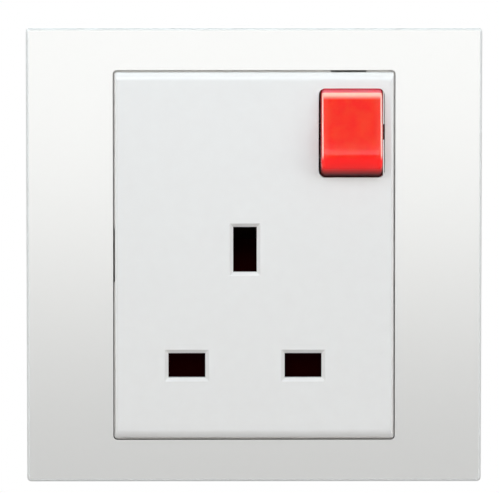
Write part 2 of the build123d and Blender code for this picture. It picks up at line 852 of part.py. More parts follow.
# Base moulding: the rear tub with wire entries, screw wells and terminal pockets
with BuildPart() as base_moulding:
    slab(2 * tub_x, 2 * tub_z, tub_corner, (tub_front_y, tub_depth))
    back_edges = base_moulding.faces().sort_by(Axis.Y)[-1].edges()
    fillet(back_edges, tub_back_round)
    slab(
        2 * tub_inner_x,
        2 * tub_inner_z,
        tub_inner_corner,
        (tub_front_y, tub_inner_y),
        mode=Mode.SUBTRACT,
    )
    # Cheeks either side of each terminal
    for x in terminal_places.values():
        for side in (-1, 1):
            near = x + side * (terminal_width / 2 + pocket_gap)
            block(
                sorted((near, near + side * pocket_cheek)),
                (wire_y, tub_inner_y),
                (terminal_z, tub_inner_z),
            )
    # Tubes that back the terminals and guide a screwdriver to their screws
    tube_radius = screw_head_radius + screw_head_gap
    for x in terminal_places.values():
        rod(x, terminal_z, tube_radius + terminal_tube_wall, (terminal_tube_y, tub_inner_y))
        rod(x, terminal_z, tube_radius, (terminal_tube_y, tub_depth), mode=Mode.SUBTRACT)
    # Square wire entries in the top wall, in line with the terminals' bores
    for x in terminal_places.values():
        block(
            (x - wire_entry / 2, x + wire_entry / 2),
            (wire_y - wire_entry / 2, wire_y + wire_entry / 2),
            (tub_inner_z, tub_z),
            mode=Mode.SUBTRACT,
        )
    # Wells for the four housing screws
    for boss_x, boss_height in boss_places:
        rod(boss_x, boss_height, well_radius + well_wall, (well_front_y, tub_inner_y))
        rod(boss_x, boss_height, well_radius, (well_seat_y, tub_depth), mode=Mode.SUBTRACT)
        rod(
            boss_x,
            boss_height,
            housing_screw_radius + housing_screw_clearance,
            (well_front_y, well_seat_y),
            mode=Mode.SUBTRACT,
        )
    # Shelf under the lamp, with a slot for the live strip and lugs that hold the glass
    shelf_left = resistor_right_x - resistor_length
    shelf_z = (shelf_top_z - shelf_thickness, shelf_top_z)
    shelf_front_y = lamp_y - lamp_radius - lamp_seat_gap - shelf_lug
    lug_offset = lamp_length / 2 - shelf_lug_inset
    block((shelf_left, tub_inner_x), (shelf_front_y, tub_inner_y), shelf_z)
    block(
        (rocker_x - strip_width / 2 - pocket_gap, rocker_x + strip_width / 2 + pocket_gap),
        (fulcrum_front_y - pocket_gap, fulcrum_front_y + sheet + pocket_gap),
        shelf_z,
        mode=Mode.SUBTRACT,
    )
    for lug_x in (lamp_x - lug_offset, lamp_x + lug_offset):
        for lug_front in (shelf_front_y, lamp_y + lamp_radius + lamp_seat_gap):
            block(
                (lug_x - shelf_lug / 2, lug_x + shelf_lug / 2),
                (lug_front, lug_front + shelf_lug),
                (shelf_top_z - shelf_thickness, shelf_top_z + shelf_lug_height),
            )
base_moulding.part.label = "base_moulding"

# Contact cover, the panel that the shutter slides on
with BuildPart() as contact_cover:
    block((-tub_x, tub_x), (cover_front_y, cover_back_y), (-tub_z, cover_top_z))
    fillet(contact_cover.edges().filter_by(Axis.Y), cover_corner)
    # A frame of panel round the earth pin's window
    window_frame = wedge_width / 2 + cover_window_play + cover_window_frame
    block(
        (outlet_x - window_frame, outlet_x + window_frame),
        (cover_front_y, cover_back_y),
        (bar_top_z, cover_window_top_z + cover_window_frame),
    )
    # Rails at the shutter's two edges and a post at the foot of its spring
    for side in (-1, 1):
        rail_near = outlet_x + side * (shutter_half + guide_gap)
        rail_far = rail_near + side * guide_width
        block(
            sorted((rail_near, rail_far)),
            (shutter_front_y, cover_front_y),
            (shutter_bottom_z - shutter_travel, bar_top_z),
        )
    block(
        (outlet_x - shutter_spring_slot / 2, outlet_x + shutter_spring_slot / 2),
        (shutter_front_y, cover_front_y),
        (spring_foot_z - spring_post_height, spring_foot_z),
    )
    # Windows for the pins and for the wedge behind the earth aperture
    for x in (live_x, neutral_x):
        block(
            (x - blade_width / 2 - cover_window_play, x + blade_width / 2 + cover_window_play),
            (cover_front_y, cover_back_y),
            (
                blade_z - blade_height / 2 - cover_window_play,
                blade_z + blade_height / 2 + cover_window_play,
            ),
            mode=Mode.SUBTRACT,
        )
    block(
        (
            outlet_x - wedge_width / 2 - cover_window_play,
            outlet_x + wedge_width / 2 + cover_window_play,
        ),
        (cover_front_y, cover_back_y),
        (wedge_low_z - shutter_travel - cover_window_play, cover_window_top_z),
        mode=Mode.SUBTRACT,
    )
    # Holes that fit over the two lower bosses of the plate
    for boss_x, boss_height in boss_places[:2]:
        rod(
            boss_x,
            boss_height,
            boss_radius + well_gap,
            (shutter_front_y, cover_back_y),
            mode=Mode.SUBTRACT,
        )
contact_cover.part.label = "contact_cover"

# Shutter: a bar across the two lower apertures and a stem with the earth pin's wedge
with BuildPart() as shutter:
    block(
        (outlet_x - shutter_half, outlet_x + shutter_half),
        (shutter_front_y, shutter_back_y),
        (shutter_bottom_z, bar_top_z),
    )
    block(
        (outlet_x - shutter_stem / 2, outlet_x + shutter_stem / 2),
        (shutter_front_y, shutter_back_y),
        (bar_top_z, wedge_low_z),
    )
    fillet(shutter.edges().filter_by(Axis.Y), shutter_corner)
    for x in (live_x, neutral_x):
        block(
            (x - (blade_width + aperture_play) / 2, x + (blade_width + aperture_play) / 2),
            (shutter_front_y, shutter_back_y),
            (window_bottom_z, window_top_z),
            mode=Mode.SUBTRACT,
        )
    # The wedge slopes back at 45 degrees, so the pin's travel drives the shutter down
    with BuildSketch(Plane.YZ.offset(outlet_x)):
        with BuildLine():
            Polyline(
                (shutter_front_y, wedge_low_z - wedge_thickness),
                (shutter_front_y, wedge_low_z),
                (wedge_back_y, wedge_top_z),
                (wedge_back_y, wedge_top_z - wedge_thickness),
                (shutter_back_y, wedge_low_z + shutter_thickness - wedge_thickness),
                (shutter_back_y, wedge_low_z - wedge_thickness),
                close=True,
            )
        make_face()
    extrude(amount=wedge_width / 2, both=True)
    # Slot for the return spring
    block(
        (outlet_x - shutter_spring_slot / 2, outlet_x + shutter_spring_slot / 2),
        (shutter_front_y, shutter_back_y),
        (shutter_bottom_z, spring_head_z),
        mode=Mode.SUBTRACT,
    )
shutter.part.label = "shutter"

# Return spring of the shutter
with BuildPart() as shutter_spring:
    coil(
        (outlet_x, (shutter_front_y + shutter_back_y) / 2, spring_foot_z + spring_end_gap),
        (0, 0, 1),
        spring_head_z - spring_foot_z - 2 * spring_end_gap,
        shutter_spring_radius,
        shutter_spring_wire,
        shutter_spring_turns,
    )
shutter_spring.part.label = "shutter_spring"

# Four screws from behind, all alike
with BuildPart() as housing_screws:
    head_front_y = well_seat_y + running_clearance
    head_back_y = head_front_y + housing_head_height
    shank_tip_y = boss_end - housing_screw_length + well_gap
    for boss_x, boss_height in boss_places:
        rod(boss_x, boss_height, housing_screw_radius, (shank_tip_y, head_front_y))
        rod(boss_x, boss_height, housing_head_radius, (head_front_y, head_back_y))
        for size_x, size_z in ((recess_length, recess_width), (recess_width, recess_length)):
            block(
                (boss_x - size_x / 2, boss_x + size_x / 2),
                (head_back_y - recess_depth, head_back_y),
                (boss_height - size_z / 2, boss_height + size_z / 2),
                mode=Mode.SUBTRACT,
            )
housing_screws.part.label = "housing_screws"

# Neon lamp: a small glass tube lying on the shelf
with BuildPart() as neon_lamp:
    with BuildSketch(Plane.YZ.offset(lamp_left_x)):
        with Locations((lamp_y, lamp_z)):
            Circle(lamp_radius)
    extrude(amount=lamp_length)
    fillet(neon_lamp.faces().sort_by(Axis.X)[-1].edges(), lamp_tip_round)
neon_lamp.part.label = "neon_lamp"

# Its series resistor, in line with the lamp's upper lead
with BuildPart() as neon_resistor:
    with BuildSketch(Plane.YZ.offset(resistor_right_x - resistor_length)):
        with Locations((lamp_y, lead_top_z)):
            Circle(resistor_radius)
    extrude(amount=resistor_length)
    fillet(neon_resistor.edges().filter_by(GeomType.CIRCLE), resistor_end_round)
neon_resistor.part.label = "neon_resistor"


def lead(*points):
    """A stiff wire through the points, with its bends rounded."""
    with BuildLine() as route:
        FilletPolyline(*points, radius=lead_bend)
    with BuildSketch(Plane(origin=route.line @ 0, z_dir=route.line % 0)) as section:
        Circle(lead_radius)
    sweep(section.sketch, path=route.line)


# Leads: lamp to resistor, resistor to the neutral strip, and lamp to the live strip
with BuildPart() as neon_leads:
    resistor_left_x = resistor_right_x - resistor_length
    with BuildSketch(Plane.YZ.offset(resistor_right_x)):
        with Locations((lamp_y, lead_top_z)):
            Circle(lead_radius)
    extrude(amount=lamp_left_x - resistor_right_x)
    lead(
        (resistor_left_x, lamp_y, lead_top_z),
        (-rocker_x, lamp_y, lead_top_z),
        (-rocker_x, blade_base_y, lead_top_z),
    )
    lead(
        (lamp_left_x, lamp_y, lead_bottom_z),
        (lamp_left_x - lead_bend - lead_radius, lamp_y, lead_bottom_z),
        (lamp_left_x - lead_bend - lead_radius, fulcrum_front_y + sheet / 2, lead_bottom_z),
        (rocker_x - strip_width / 2, fulcrum_front_y + sheet / 2, lead_bottom_z),
    )
neon_leads.part.label = "neon_leads"

pieces = [
    surround_frame,
    socket_plate,
    base_moulding,
    contact_cover,
    shutter,
    shutter_spring,
    rocker,
    rocker_plunger,
    plunger_spring,
    rocking_contact,
    moving_contact_rivet,
    fixed_contact_rivet,
    live_busbar,
    neutral_busbar,
    earth_busbar,
    housing_screws,
    neon_lamp,
    neon_resistor,
    neon_leads,
    *terminals,
]
os.makedirs("parts", exist_ok=True)
for piece in pieces:
    export_step(piece.part, f"parts/{piece.part.label}.step")
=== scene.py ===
# %% [markdown]
# A switched wall socket, dressed for a product picture.
# The solid model of the socket is already there: every moulding, clip and screw at its real
# size, in metres. This lesson gives each of them the finish of the real material, winds the two
# coil springs again, and sets up a soft studio round it all.

import json
from math import cos, pi, radians, sin

import bmesh
import bpy
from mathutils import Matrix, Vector


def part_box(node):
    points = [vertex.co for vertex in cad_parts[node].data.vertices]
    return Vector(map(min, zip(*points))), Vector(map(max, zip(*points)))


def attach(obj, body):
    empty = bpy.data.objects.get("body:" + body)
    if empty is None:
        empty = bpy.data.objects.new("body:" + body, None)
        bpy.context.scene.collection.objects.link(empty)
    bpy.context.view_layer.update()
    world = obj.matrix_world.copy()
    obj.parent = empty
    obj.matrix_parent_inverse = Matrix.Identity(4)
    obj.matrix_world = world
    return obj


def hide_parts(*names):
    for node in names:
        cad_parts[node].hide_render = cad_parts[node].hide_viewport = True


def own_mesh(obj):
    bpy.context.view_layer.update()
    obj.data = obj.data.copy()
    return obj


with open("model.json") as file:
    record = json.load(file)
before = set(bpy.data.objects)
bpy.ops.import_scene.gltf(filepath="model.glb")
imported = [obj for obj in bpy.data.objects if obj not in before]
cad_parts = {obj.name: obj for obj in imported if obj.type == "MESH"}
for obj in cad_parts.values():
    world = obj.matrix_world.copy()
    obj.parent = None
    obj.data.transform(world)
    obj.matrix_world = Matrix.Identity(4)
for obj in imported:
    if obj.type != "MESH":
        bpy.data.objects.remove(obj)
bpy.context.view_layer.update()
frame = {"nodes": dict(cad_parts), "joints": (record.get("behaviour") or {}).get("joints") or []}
nodes = frame["nodes"]
joints = {joint["name"]: joint for joint in frame["joints"]}
MM = 0.001
print("pieces in the frame:", len(nodes))
print("joints:", ", ".join(joints))

# %% [markdown]
# Colours are given as sRGB hex values, the way a designer reads them off a swatch. Shaders want
# linear light, so one function converts them.

# %% Colour
def linear(hex_code):
    """An sRGB hex colour, such as "e8e4da", as linear red, green, blue and full alpha."""
    channels = [int(hex_code[i : i + 2], 16) / 255 for i in (0, 2, 4)]
    lit = [c / 12.92 if c <= 0.04045 else ((c + 0.055) / 1.055) ** 2.4 for c in channels]
    return lit + [1.0]


print("middle grey 808080 in linear light:", round(linear("808080")[0], 3))

# %% [markdown]
# A material is a tree of nodes. One small function adds a node with its settings and links in a
# single call, which keeps every material below short enough to read. Patterns take the object's
# own coordinates, turned into millimetres, so a scale can be written as the real size.

# %% Nodes and new materials
def add_node(tree, kind, settings=None, links=None):
    """Adds a node of this kind with its properties, input values and incoming links."""
    made = tree.nodes.new(kind)
    for name, value in (settings or {}).items():
        if isinstance(name, int) or name in made.inputs:
            made.inputs[name].default_value = value
        else:
            setattr(made, name, value)
    for name, source in (links or {}).items():
        tree.links.new(source, made.inputs[name])
    return made


def new_material(name):
    """An empty node material with its tree, and object coordinates in millimetres."""
    material = bpy.data.materials.new(name)
    material.use_nodes = True
    tree = material.node_tree
    tree.nodes.clear()
    place = add_node(tree, "ShaderNodeTexCoord")
    in_mm = add_node(
        tree,
        "ShaderNodeVectorMath",
        {"operation": "SCALE", "Scale": 1 / MM},
        {0: place.outputs["Object"]},
    )
    return material, tree, in_mm.outputs["Vector"]


def dress(material, *names):
    """Gives the material to these nodes of the frame."""
    for name in names:
        slots = nodes[name].data.materials
        slots.clear()
        slots.append(material)
    print(material.name, "on", ", ".join(names))


print("one unit of a pattern is", MM, "m")

# %% [markdown]
# Many finishes change over a piece: the frame's lacquer stops short of its back, and the rocker and the
# frame's outer edge carry painted highlights and shade.
# A painted mask would do, but it needs an image. Here each mask is worked out instead, from how
# far a point lies along some direction. It is a share from zero to one that rises smoothly over
# a span of a few tenths of a millimetre or more, and bands of colour are blended in by it.

# %% Masks worked out from where a point lies
def share_along(tree, place, way, span, centre=(0, 0, 0), both_sides=False):
    """Rises from zero to one over the span, as a point lies farther from the centre this way."""
    from_centre = add_node(
        tree, "ShaderNodeVectorMath", {"operation": "SUBTRACT", 1: centre}, {0: place}
    )
    along = add_node(
        tree, "ShaderNodeVectorMath", {"operation": "DOT_PRODUCT", 1: way}, {0: from_centre.outputs[0]}
    )
    reach = along.outputs["Value"]
    if both_sides:
        away = add_node(tree, "ShaderNodeMath", {"operation": "ABSOLUTE"}, {0: reach})
        reach = away.outputs[0]
    rise = add_node(
        tree,
        "ShaderNodeMapRange",
        {"interpolation_type": "SMOOTHSTEP", "From Min": span[0], "From Max": span[1]},
        {"Value": reach},
    )
    return rise.outputs[0]


def largest_of(tree, first, *others):
    """The largest of several shares at each point."""
    largest = first
    for share in others:
        pair = add_node(tree, "ShaderNodeMath", {"operation": "MAXIMUM"}, {0: largest, 1: share})
        largest = pair.outputs[0]
    return largest


def banded(tree, colour, bands):
    """The colour with each band's own colour blended over it by the band's share, in turn."""
    for share, band_hex in bands:
        blend = add_node(
            tree, "ShaderNodeMix", {"data_type": "RGBA", 7: linear(band_hex)}, {0: share, 6: colour}
        )
        colour = blend.outputs[2]
    return colour


print("ready:", ", ".join(helper.__name__ for helper in (share_along, largest_of, banded)))

# %% [markdown]
# The insert is injection-moulded polycarbonate, white and glossy. A polished mould leaves it
# smooth, but thick walls shrink as they cool, so the gloss waves very slightly: orange peel.
# A broad faint noise drives a bump for that. Polycarbonate's IOR is about 1.58.

# %% Gloss white polycarbonate
PEEL_MM = 2.5
PEEL_DEPTH_MM = 0.02


def gloss_white_polycarbonate():
    material, tree, place = new_material("gloss_white_polycarbonate")
    peel = add_node(
        tree, "ShaderNodeTexNoise", {"Scale": 1 / PEEL_MM, "Detail": 2.0}, {"Vector": place}
    )
    bump = add_node(
        tree,
        "ShaderNodeBump",
        {"Strength": 0.12, "Distance": PEEL_DEPTH_MM * MM},
        {"Height": peel.outputs[0]},
    )
    tint = add_node(tree, "ShaderNodeValToRGB", {}, {"Fac": peel.outputs[0]})
    tint.color_ramp.elements[0].color = linear("f0edeb")
    tint.color_ramp.elements[1].color = linear("f3f1ef")
    surface = add_node(
        tree,
        "ShaderNodeBsdfPrincipled",
        {"Roughness": 0.22, "IOR": 1.58},
        {"Base Color": tint.outputs[0], "Normal": bump.outputs[0]},
    )
    add_node(tree, "ShaderNodeOutputMaterial", {}, {"Surface": surface.outputs[0]})
    return material


dress(gloss_white_polycarbonate(), "socket_plate")

# %% [markdown]
# The front frame is the same plastic under a pearl lacquer: mica flakes that lie almost flat in
# a clear coat. Together they act like a satin metal skin, so the face is drawn as nearly metallic
# and mirrors the room, which gives its slow fade from white at the top to grey at the foot. A
# clear coat over plain white was the other way, but its white would drown that fade.
# The lacquer is sprayed from the front and is missing behind, so plain, duller plastic shows
# there. A band round the outer edges is drawn in the same greyer, duller, less metallic plastic;
# its greyer colour is painted shade on the outer bevel. Real flakes are near 0.05 mm; they are
# drawn coarser here because finer ones would vanish in the picture. Noise values gather round the
# middle, so only that part of their range is spread over the whole change from one gloss to the
# other.

# %% Where the plain back and the painted edge shade begin
FRAME_HALF_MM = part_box("surround_frame")[1][0] / MM
EDGE_SHADE_STARTS_MM = 0.55
EDGE_SHADE_FULL_MM = 0.35
EDGE_SHADE_MM = (FRAME_HALF_MM - EDGE_SHADE_STARTS_MM, FRAME_HALF_MM - EDGE_SHADE_FULL_MM)
FACING_BACK = (0.2, 0.6)


def bare_back_and_edge_shade(tree, place):
    """One at the frame's outer edges, as painted shade, and where its surface faces the wall, where it
    is unlacquered; else zero.
    """
    facing = add_node(tree, "ShaderNodeTexCoord")
    return largest_of(
        tree,
        share_along(tree, place, (1, 0, 0), EDGE_SHADE_MM, both_sides=True),
        share_along(tree, place, (0, 0, 1), EDGE_SHADE_MM, both_sides=True),
        share_along(tree, facing.outputs["Normal"], (0, 1, 0), FACING_BACK),
    )


# The painted edge shade is full this far inside the outer edge.
print("the lacquer ends", EDGE_SHADE_FULL_MM, "mm inside the outer edge")

# %% Pearl lacquer
FLAKE_MM = 0.22
FLAKE_DEPTH_MM = 0.01
FLAKE_COVER = 0.9
FLAKE_NOISE = (0.3, 0.7)
SATIN = (0.13, 0.17)
BARE_ROUGHER = 0.35


def pearl_lacquer():
    material, tree, place = new_material("pearl_lacquer")
    flakes = add_node(
        tree, "ShaderNodeTexNoise", {"Scale": 1 / FLAKE_MM, "Detail": 1.0}, {"Vector": place}
    )
    bump = add_node(
        tree,
        "ShaderNodeBump",
        {"Strength": 0.1, "Distance": FLAKE_DEPTH_MM * MM},
        {"Height": flakes.outputs[0]},
    )
    shine = add_node(
        tree,
        "ShaderNodeMapRange",
        {
            "From Min": FLAKE_NOISE[0],
            "From Max": FLAKE_NOISE[1],
            "To Min": SATIN[0],
            "To Max": SATIN[1],
        },
        {"Value": flakes.outputs[0]},
    )
    mica = add_node(tree, "ShaderNodeValToRGB", {}, {"Fac": flakes.outputs[0]})
    mica.color_ramp.elements[0].color = linear("fefefc")
    mica.color_ramp.elements[1].color = linear("fffffd")
    bare_and_edge_shade = bare_back_and_edge_shade(tree, place)
    cover = add_node(
        tree, "ShaderNodeMapRange", {"To Min": FLAKE_COVER, "To Max": 0.0}, {"Value": bare_and_edge_shade}
    )
    matt = add_node(
        tree,
        "ShaderNodeMath",
        {"operation": "MULTIPLY_ADD", 1: BARE_ROUGHER},
        {0: bare_and_edge_shade, 2: shine.outputs[0]},
    )
    surface = add_node(
        tree,
        "ShaderNodeBsdfPrincipled",
        {"IOR": 1.5},
        {
            # At the outer edges this greyer colour is painted shade; at the back it is the plain
            # plastic's own.
            "Base Color": banded(tree, mica.outputs[0], [(bare_and_edge_shade, "e6e6e4")]),
            "Metallic": cover.outputs[0],
            "Roughness": matt.outputs[0],
            "Normal": bump.outputs[0],
        },
    )
    add_node(tree, "ShaderNodeOutputMaterial", {}, {"Surface": surface.outputs[0]})
    return material


dress(pearl_lacquer(), "surround_frame")

# %% [markdown]
# The rocker is clear red polycarbonate, so that the neon lamp behind it can show. It stands
# tilted, so distances on it are measured in its own directions, from the pivot that it turns on.
# The finish, with its painted highlights and shade, then turns with the piece.

# %% The rocker's own directions
ROCKER_TILT = radians(-14.0)
ROCKER_DEPTH_WAY = Vector((0, cos(ROCKER_TILT), sin(ROCKER_TILT)))
ROCKER_LENGTH_WAY = Vector((0, -sin(ROCKER_TILT), cos(ROCKER_TILT)))
ROCKER_WIDTH_WAY = Vector((1, 0, 0))
pivot_mm = Vector(joints["rocker_tilt"]["pos_m"]) / MM
print("rocker pivot in mm:", [round(value, 2) for value in pivot_mm])

# %% [markdown]
# Light enters the red plastic, scatters and comes out redder: subsurface scattering, with a
# radius that is long for red and short for green and blue. A weak emission in the plastic's own
# red, much brighter on the lower end and none on the skirt, is painted glow: it keeps the red
# bright beside the white, though the neon lamp behind gives no light here. Clear transmission was
# the other way, but the dark case behind would show through and the picture would stay noisy.
# Bands of colour are blended over the red, most of them painted light and shade: a pale painted
# highlight line along the upper rim and along each flank, a paler red painted sheen inside each
# flank line, a dull pink painted reflection past the rim, a deeper red on the lower end, and
# painted shade on the outer flanks and on the skirt that stands in the case. Slow flow patterns in
# the melt, a few millimetres across, give the face a faint mottling.

# %% Bands of the rocker, most of them painted light and shade, in millimetres from its pivot
# painted shade: span of the dark skirt
PAINTED_SKIRT_SHADE_MM = (-5.8, -1.9)
# lower end: a deeper red, and a much brighter painted glow
LOWER_END_MM = (5.6, 6.7)
# painted highlight: span of the pale line along the upper rim
PAINTED_RIM_HIGHLIGHT_MM = (4.9, 6.0)
# painted reflection: span of the dull pink band past the rim
PAINTED_RIM_REFLECTION_MM = (6.3, 6.5)
# painted sheen: span of the paler red inside each flank
PAINTED_FLANK_SHEEN_MM = (4.0, 5.4)
# painted highlight: span of the pale line along each flank
PAINTED_FLANK_HIGHLIGHT_MM = (5.36, 5.54)
# painted shade: span of the dark outer flanks
PAINTED_FLANK_SHADE_MM = (5.64, 5.76)


def from_pivot(tree, place, way, span, both_sides=False):
    """The share of a band that lies this way from the rocker's pivot."""
    return share_along(tree, place, way, span, pivot_mm, both_sides)


def red_and_painted_light_bands(tree, place, lower_end, skirt):
    """Each band's share and its colour, in the order in which they are blended in; most bands are
    painted highlights, a painted reflection and painted shade.
    """
    return [
        # painted sheen: a paler red inside each flank
        (from_pivot(tree, place, ROCKER_WIDTH_WAY, PAINTED_FLANK_SHEEN_MM, both_sides=True), "ff4430"),
        # painted highlight: a pale line along each flank
        (from_pivot(tree, place, ROCKER_WIDTH_WAY, PAINTED_FLANK_HIGHLIGHT_MM, both_sides=True), "ffdcd2"),
        (lower_end, "ff1c1a"),
        # painted highlight: a pale line along the upper rim
        (from_pivot(tree, place, ROCKER_LENGTH_WAY, PAINTED_RIM_HIGHLIGHT_MM), "ffcbb8"),
        # painted reflection: a dull pink band past the upper rim
        (from_pivot(tree, place, ROCKER_LENGTH_WAY, PAINTED_RIM_REFLECTION_MM), "e46a76"),
        # painted shade at the outer flanks
        (from_pivot(tree, place, ROCKER_WIDTH_WAY, PAINTED_FLANK_SHADE_MM, both_sides=True), "a01410"),
        # painted shade on the skirt, which stands in the dark case
        (skirt, "4a0c0c"),
    ]


print("pale rim line at", PAINTED_RIM_HIGHLIGHT_MM, "mm, flank lines at", PAINTED_FLANK_HIGHLIGHT_MM, "mm")

# %% Clear red polycarbonate
FLOW_MM = 3.0
FLOW_NOISE = (0.35, 0.65)
SCATTER_MM = 3.0
GLOSS_TO_MATT = (0.12, 0.55)


def clear_red_polycarbonate():
    material, tree, place = new_material("clear_red_polycarbonate")
    flow = add_node(
        tree, "ShaderNodeTexNoise", {"Scale": 1 / FLOW_MM, "Detail": 3.0}, {"Vector": place}
    )
    body = add_node(tree, "ShaderNodeValToRGB", {}, {"Fac": flow.outputs[0]})
    body.color_ramp.elements[0].position = FLOW_NOISE[0]
    body.color_ramp.elements[0].color = linear("ff1a0c")
    body.color_ramp.elements[1].position = FLOW_NOISE[1]
    body.color_ramp.elements[1].color = linear("ff3612")
    lower_end = from_pivot(tree, place, -ROCKER_LENGTH_WAY, LOWER_END_MM)
    # painted shade: the skirt is darkened, made matt and loses its painted glow
    skirt = from_pivot(tree, place, ROCKER_DEPTH_WAY, PAINTED_SKIRT_SHADE_MM)
    # painted glow: the emission colour, dim red on the face and bright red on the lower end
    painted_glow = add_node(
        tree,
        "ShaderNodeMix",
        {"data_type": "RGBA", 6: linear("960200"), 7: linear("f40600")},
        {0: lower_end},
    )
    matt = add_node(
        tree,
        "ShaderNodeMapRange",
        {"To Min": GLOSS_TO_MATT[0], "To Max": GLOSS_TO_MATT[1]},
        {"Value": skirt},
    )
    surface = add_node(
        tree,
        "ShaderNodeBsdfPrincipled",
        {
            "IOR": 1.58,
            "Specular IOR Level": 0.24,
            "Subsurface Weight": 0.8,
            "Subsurface Radius": (1.0, 0.12, 0.08),
            "Subsurface Scale": SCATTER_MM * MM,
            # painted glow: a weak emission in the plastic's own red
            "Emission Strength": 0.45,
        },
        {
            "Base Color": banded(tree, body.outputs[0], red_and_painted_light_bands(tree, place, lower_end, skirt)),
            "Roughness": matt.outputs[0],
            # the painted glow, taken away on the skirt
            "Emission Color": banded(tree, painted_glow.outputs[2], [(skirt, "000000")]),
        },
    )
    add_node(tree, "ShaderNodeOutputMaterial", {}, {"Surface": surface.outputs[0]})
    return material


dress(clear_red_polycarbonate(), "rocker")

# %% [markdown]
# Behind the plate the mouldings are thermoset urea, a warmer and duller white, from a
# spark-eroded mould that leaves a fine matt grain. The plunger's natural nylon and the
# resistor's lacquered ceramic body have a grain of the same kind, so one function makes all
# three. The real grit is near 0.1 mm; it is drawn coarser here, so that it shows.

# %% Spark-textured urea, natural nylon and ceramic
GRIT_MM = 0.25
GRIT_DEPTH_MM = 0.02


def matt_moulding(name, low, high, roughness):
    material, tree, place = new_material(name)
    grit = add_node(
        tree, "ShaderNodeTexNoise", {"Scale": 1 / GRIT_MM, "Detail": 2.0}, {"Vector": place}
    )
    bump = add_node(
        tree,
        "ShaderNodeBump",
        {"Strength": 0.3, "Distance": GRIT_DEPTH_MM * MM},
        {"Height": grit.outputs[0]},
    )
    tint = add_node(tree, "ShaderNodeValToRGB", {}, {"Fac": grit.outputs[0]})
    tint.color_ramp.elements[0].color = linear(low)
    tint.color_ramp.elements[1].color = linear(high)
    surface = add_node(
        tree,
        "ShaderNodeBsdfPrincipled",
        {"Roughness": roughness, "IOR": 1.5},
        {"Base Color": tint.outputs[0], "Normal": bump.outputs[0]},
    )
    add_node(tree, "ShaderNodeOutputMaterial", {}, {"Surface": surface.outputs[0]})
    return material


dress(matt_moulding("white_urea", "e2e0d8", "ebe9e2", roughness=0.55), "base_moulding", "contact_cover")
dress(matt_moulding("natural_nylon", "e3dcc9", "ece6d6", roughness=0.4), "rocker_plunger")
dress(matt_moulding("lacquered_ceramic", "c3ac86", "cdb892", roughness=0.5), "neon_resistor")

# %% [markdown]
# The shutter is nylon filled with carbon black, with a breath of red in it. Almost no light comes
# back from it, which is why the pin holes look like deep holes, so its gloss is turned right down.

# %% Black nylon
def black_nylon():
    material, tree, place = new_material("black_nylon")
    grit = add_node(
        tree, "ShaderNodeTexNoise", {"Scale": 1 / GRIT_MM, "Detail": 2.0}, {"Vector": place}
    )
    tint = add_node(tree, "ShaderNodeValToRGB", {}, {"Fac": grit.outputs[0]})
    tint.color_ramp.elements[0].color = linear("120000")
    tint.color_ramp.elements[1].color = linear("180101")
    surface = add_node(
        tree,
        "ShaderNodeBsdfPrincipled",
        {"Roughness": 0.7, "IOR": 1.53, "Specular IOR Level": 0.0},
        {"Base Color": tint.outputs[0]},
    )
    add_node(tree, "ShaderNodeOutputMaterial", {}, {"Surface": surface.outputs[0]})
    return material


dress(black_nylon(), "shutter")

# %% [markdown]
# Inside and behind there are metals. A metal's colour is in its base colour, and the shader's
# default IOR is kept. Rolled and drawn metal has fine lines along one direction, so a noise is
# stretched that way. The real lines are some 0.05 mm apart, and are drawn coarser here.

# %% Rolled and drawn metal
ROLL_LINE_MM = 0.3
LINE_DEPTH_MM = 0.01
LONG_LINES = (1.0, 1.0, 0.08)


def rolled_metal(name, low, high, roughness):
    material, tree, place = new_material(name)
    stretch = add_node(
        tree, "ShaderNodeVectorMath", {"operation": "MULTIPLY", 1: LONG_LINES}, {0: place}
    )
    lines = add_node(
        tree,
        "ShaderNodeTexNoise",
        {"Scale": 1 / ROLL_LINE_MM, "Detail": 3.0},
        {"Vector": stretch.outputs[0]},
    )
    tint = add_node(tree, "ShaderNodeValToRGB", {}, {"Fac": lines.outputs[0]})
    tint.color_ramp.elements[0].color = linear(low)
    tint.color_ramp.elements[1].color = linear(high)
    bump = add_node(
        tree,
        "ShaderNodeBump",
        {"Strength": 0.2, "Distance": LINE_DEPTH_MM * MM},
        {"Height": lines.outputs[0]},
    )
    surface = add_node(
        tree,
        "ShaderNodeBsdfPrincipled",
        {"Metallic": 1.0, "Roughness": roughness},
        {"Base Color": tint.outputs[0], "Normal": bump.outputs[0]},
    )
    add_node(tree, "ShaderNodeOutputMaterial", {}, {"Surface": surface.outputs[0]})
    return material


print("lines drawn", ROLL_LINE_MM, "mm apart")

# %% [markdown]
# The clips, strips and terminals are pressed brass, still bright. The earth clip is phosphor
# bronze, drawn near black as painted shade for the dark inside of the earth hole. The screws are
# zinc-plated steel, which is a cool grey and not very shiny. Silver faces the switch contacts,
# and tinned copper leads to the lamp.

# %% Brass, bronze, steel, silver and copper pieces
dress(
    rolled_metal("pressed_brass", "c79a52", "dcb36b", roughness=0.32),
    "live_busbar",
    "neutral_busbar",
    "rocking_contact",
    "live_terminal",
    "neutral_terminal",
    "earth_terminal",
)
# painted shade: the earth clip is near black, as the inside of the earth hole is dark
dress(rolled_metal("phosphor_bronze_painted_shade", "20150e", "2c1e14", roughness=0.5), "earth_busbar")
dress(
    rolled_metal("zinc_plated_steel", "8b8f94", "a6aaae", roughness=0.36),
    "live_terminal_screw",
    "neutral_terminal_screw",
    "earth_terminal_screw",
    "housing_screws",
)
dress(rolled_metal("tinned_copper", "c4c5c6", "d8d9da", roughness=0.3), "neon_leads")
dress(
    rolled_metal("contact_silver", "d6d6d2", "e6e6e3", roughness=0.22),
    "moving_contact_rivet",
    "fixed_contact_rivet",
)

# %% [markdown]
# The neon lamp is a small bulb of lead glass. Glass is clear all through, so it gets transmission
# instead of a colour, and almost no roughness, because it was blown and never touched a mould.

